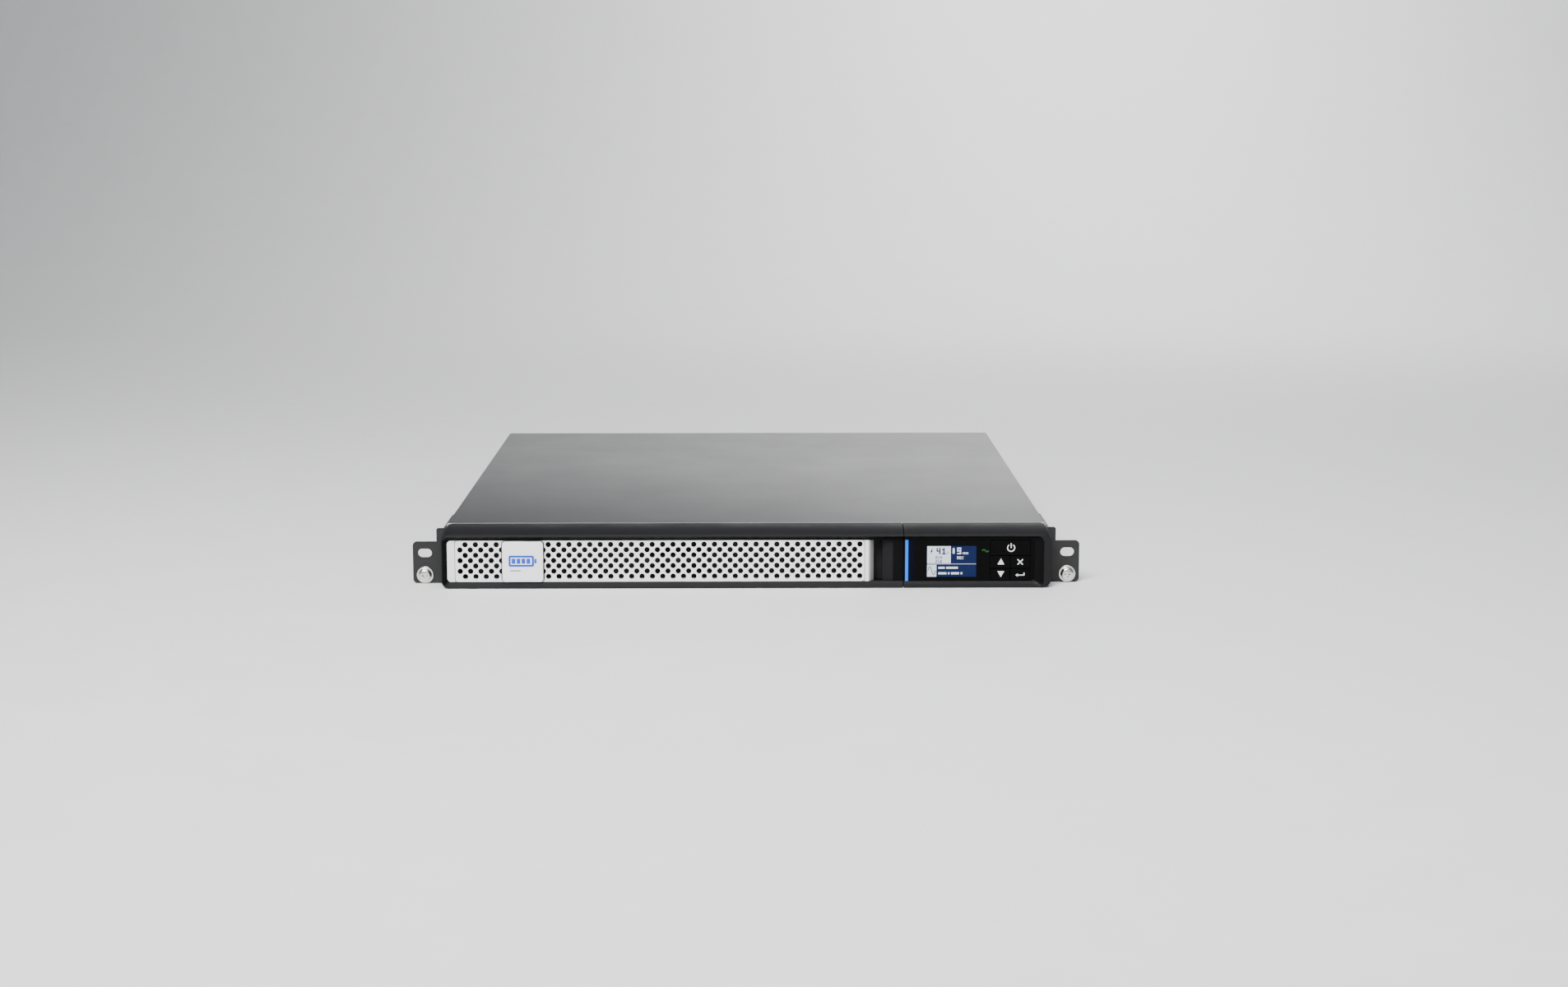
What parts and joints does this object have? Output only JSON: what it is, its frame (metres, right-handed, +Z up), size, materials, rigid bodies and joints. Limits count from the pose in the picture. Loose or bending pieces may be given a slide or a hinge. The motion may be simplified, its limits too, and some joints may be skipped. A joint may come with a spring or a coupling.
{
  "type": "uninterruptible power supply",
  "caption": "Flat rack-mount power supply with rack ears, perforated pull-off front cover, small display with keys, slide-out battery pack and rear mains sockets.",
  "frame": {"origin": "centre of the bounding box in plan, on the plane of the casing's underside", "axes": "+X to the right seen from the front, +Y from the front to the rear connectors, +Z up"},
  "size_m": [0.4826, 0.5146, 0.0432],
  "materials": {
    "case_paint": "dark grey satin powder coat with a fine grain",
    "bezel_plastic": "charcoal moulded plastic, fine matt texture",
    "silver_paint": "silver metallic paint, satin",
    "silver_plastic": "silver painted plastic, satin",
    "badge_plastic": "light grey moulded plastic, satin",
    "light_guide": "blue light guide, glowing",
    "gloss_black": "piano black fascia",
    "lcd_glass": "blue graphic display behind glass",
    "lamp_green": "green indicator lens",
    "ear_steel": "dark grey powder-coated steel",
    "zinc_steel": "zinc-plated steel",
    "galvanised_sheet": "galvanised sheet steel",
    "dark_screw": "black-oxide screw steel",
    "battery_case": "dark grey battery plastic",
    "pull_strap": "black flexible strap",
    "red_lead": "red insulated links",
    "connector_grey": "grey power connector",
    "board_green": "green circuit board",
    "core_steel": "varnished transformer laminations",
    "winding_tape": "winding under yellow polyester tape",
    "heatsink_alu": "extruded aluminium",
    "part_black": "black component plastic",
    "capacitor_sleeve": "dark blue sleeve",
    "relay_white": "off-white relay case",
    "brass": "nickel-free brass",
    "port_metal": "nickel-plated port shell",
    "terminal_green": "green terminal plastic",
    "cable_grey": "grey flat cable"
  },
  "bodies": {
    "casing": {"chassis_tray": "case_paint", "top_cover": "case_paint", "rear_panel": "case_paint", "battery_bay_wall": "galvanised_sheet", "casing_screws": "dark_screw", "bezel_right": "bezel_plastic", "light_bar": "light_guide", "display_fascia": "gloss_black", "lcd_module": "lcd_glass", "status_lamp": "lamp_green", "key_switches": "part_black", "display_board": "board_green", "display_cable": "cable_grey", "ear_left": "ear_steel", "ear_right": "ear_steel", "ear_screws": "dark_screw", "rack_screws": "zinc_steel", "battery_socket": "connector_grey", "main_board": "board_green", "board_screws": "zinc_steel", "transformer_core": "core_steel", "transformer_winding": "winding_tape", "transformer_bolts": "zinc_steel", "heatsink": "heatsink_alu", "power_transistors": "part_black", "capacitors": "capacitor_sleeve", "relays": "relay_white", "fan_frame": "part_black", "mains_inlet": "part_black", "inlet_pins": "brass", "outlet_1": "part_black", "outlet_2": "part_black", "outlet_3": "part_black", "outlet_4": "part_black", "usb_port": "port_metal", "serial_port": "port_metal", "control_terminal": "terminal_green", "slot_cover": "ear_steel", "rear_screws": "dark_screw", "ground_screw": "brass"},
    "front_cover": {"bezel_left": "bezel_plastic", "grille_frame": "silver_plastic", "grille_sheet": "silver_paint", "badge": "badge_plastic"},
    "battery_pack": {"battery_tray": "galvanised_sheet", "battery_1": "battery_case", "battery_2": "battery_case", "battery_3": "battery_case", "battery_4": "battery_case", "battery_front_plate": "ear_steel", "battery_screws": "zinc_steel", "battery_pull_tab": "pull_strap", "battery_links": "red_lead", "battery_plug": "connector_grey"},
    "power_key": {"power_key": "gloss_black"},
    "up_key": {"up_key": "gloss_black"},
    "down_key": {"down_key": "gloss_black"},
    "escape_key": {"escape_key": "gloss_black"},
    "enter_key": {"enter_key": "gloss_black"},
    "fan_rotor": {"fan_rotor": "part_black"}
  },
  "joints": [
    {"name": "cover_pull", "type": "slide", "parent": "casing", "child": "front_cover", "axis": [0, -1, 0], "range_m": [0, 0.44]},
    {"name": "battery_slide", "type": "slide", "parent": "casing", "child": "battery_pack", "axis": [0, -1, 0], "range_m": [0, 0.34]},
    {"name": "power_key_press", "type": "slide", "parent": "casing", "child": "power_key", "axis": [0, 1, 0], "range_m": [0, 0.0005], "stiffness_N_per_m": 1200, "springref_m": -0.0005},
    {"name": "up_key_press", "type": "slide", "parent": "casing", "child": "up_key", "axis": [0, 1, 0], "range_m": [0, 0.0005], "stiffness_N_per_m": 1200, "springref_m": -0.0005},
    {"name": "down_key_press", "type": "slide", "parent": "casing", "child": "down_key", "axis": [0, 1, 0], "range_m": [0, 0.0005], "stiffness_N_per_m": 1200, "springref_m": -0.0005},
    {"name": "escape_key_press", "type": "slide", "parent": "casing", "child": "escape_key", "axis": [0, 1, 0], "range_m": [0, 0.0005], "stiffness_N_per_m": 1200, "springref_m": -0.0005},
    {"name": "enter_key_press", "type": "slide", "parent": "casing", "child": "enter_key", "axis": [0, 1, 0], "range_m": [0, 0.0005], "stiffness_N_per_m": 1200, "springref_m": -0.0005},
    {"name": "fan_spin", "type": "hinge", "parent": "casing", "child": "fan_rotor", "pos_m": [0.02, 0.24055, 0.0217], "axis": [0, 1, 0], "continuous": true}
  ],
  "couplings": [
    {"joint": "battery_slide", "follows": "cover_pull", "ratio": 0.77}
  ]
}
